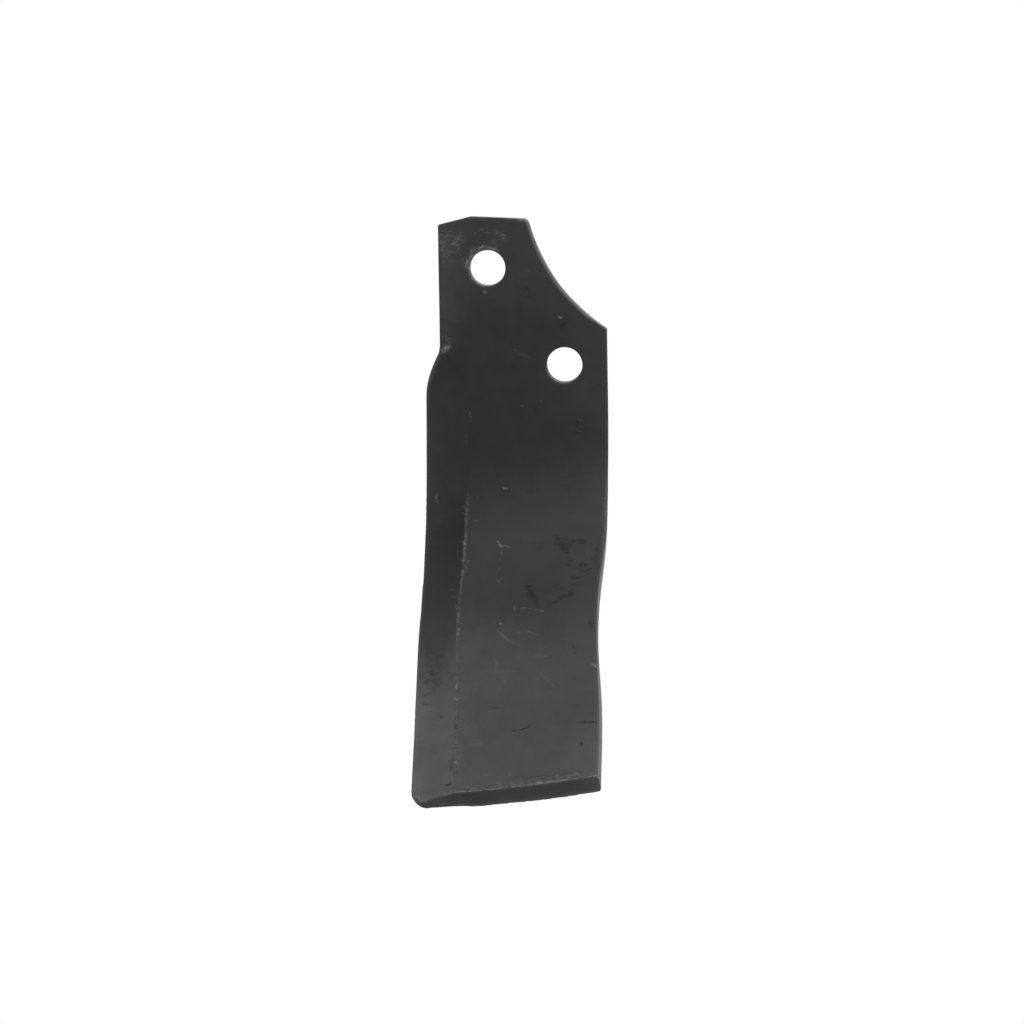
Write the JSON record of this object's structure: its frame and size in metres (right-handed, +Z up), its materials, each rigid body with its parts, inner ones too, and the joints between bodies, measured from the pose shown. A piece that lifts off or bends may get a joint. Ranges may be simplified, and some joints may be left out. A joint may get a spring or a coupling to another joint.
{
  "type": "rotary tiller blade",
  "caption": "Forged steel tiller blade: flat shank with two bolt holes and a clearance arc, bevelled cutting edge, foot bent sideways to cut and throw soil.",
  "frame": {"origin": "middle between the two bolt holes, on the flat back face that bolts against the rotor flange", "axes": "+Z up the flat shank towards its bolt end, +Y out of the bolting face, -Y the side that the foot bends to, +X away from the cutting edge"},
  "size_m": [0.0871, 0.1411, 0.2531],
  "materials": {
    "black_paint": "satin, worn to bare steel in spots"
  },
  "bodies": {
    "root": {"tiller_blade": "black_paint"}
  },
  "joints": []
}
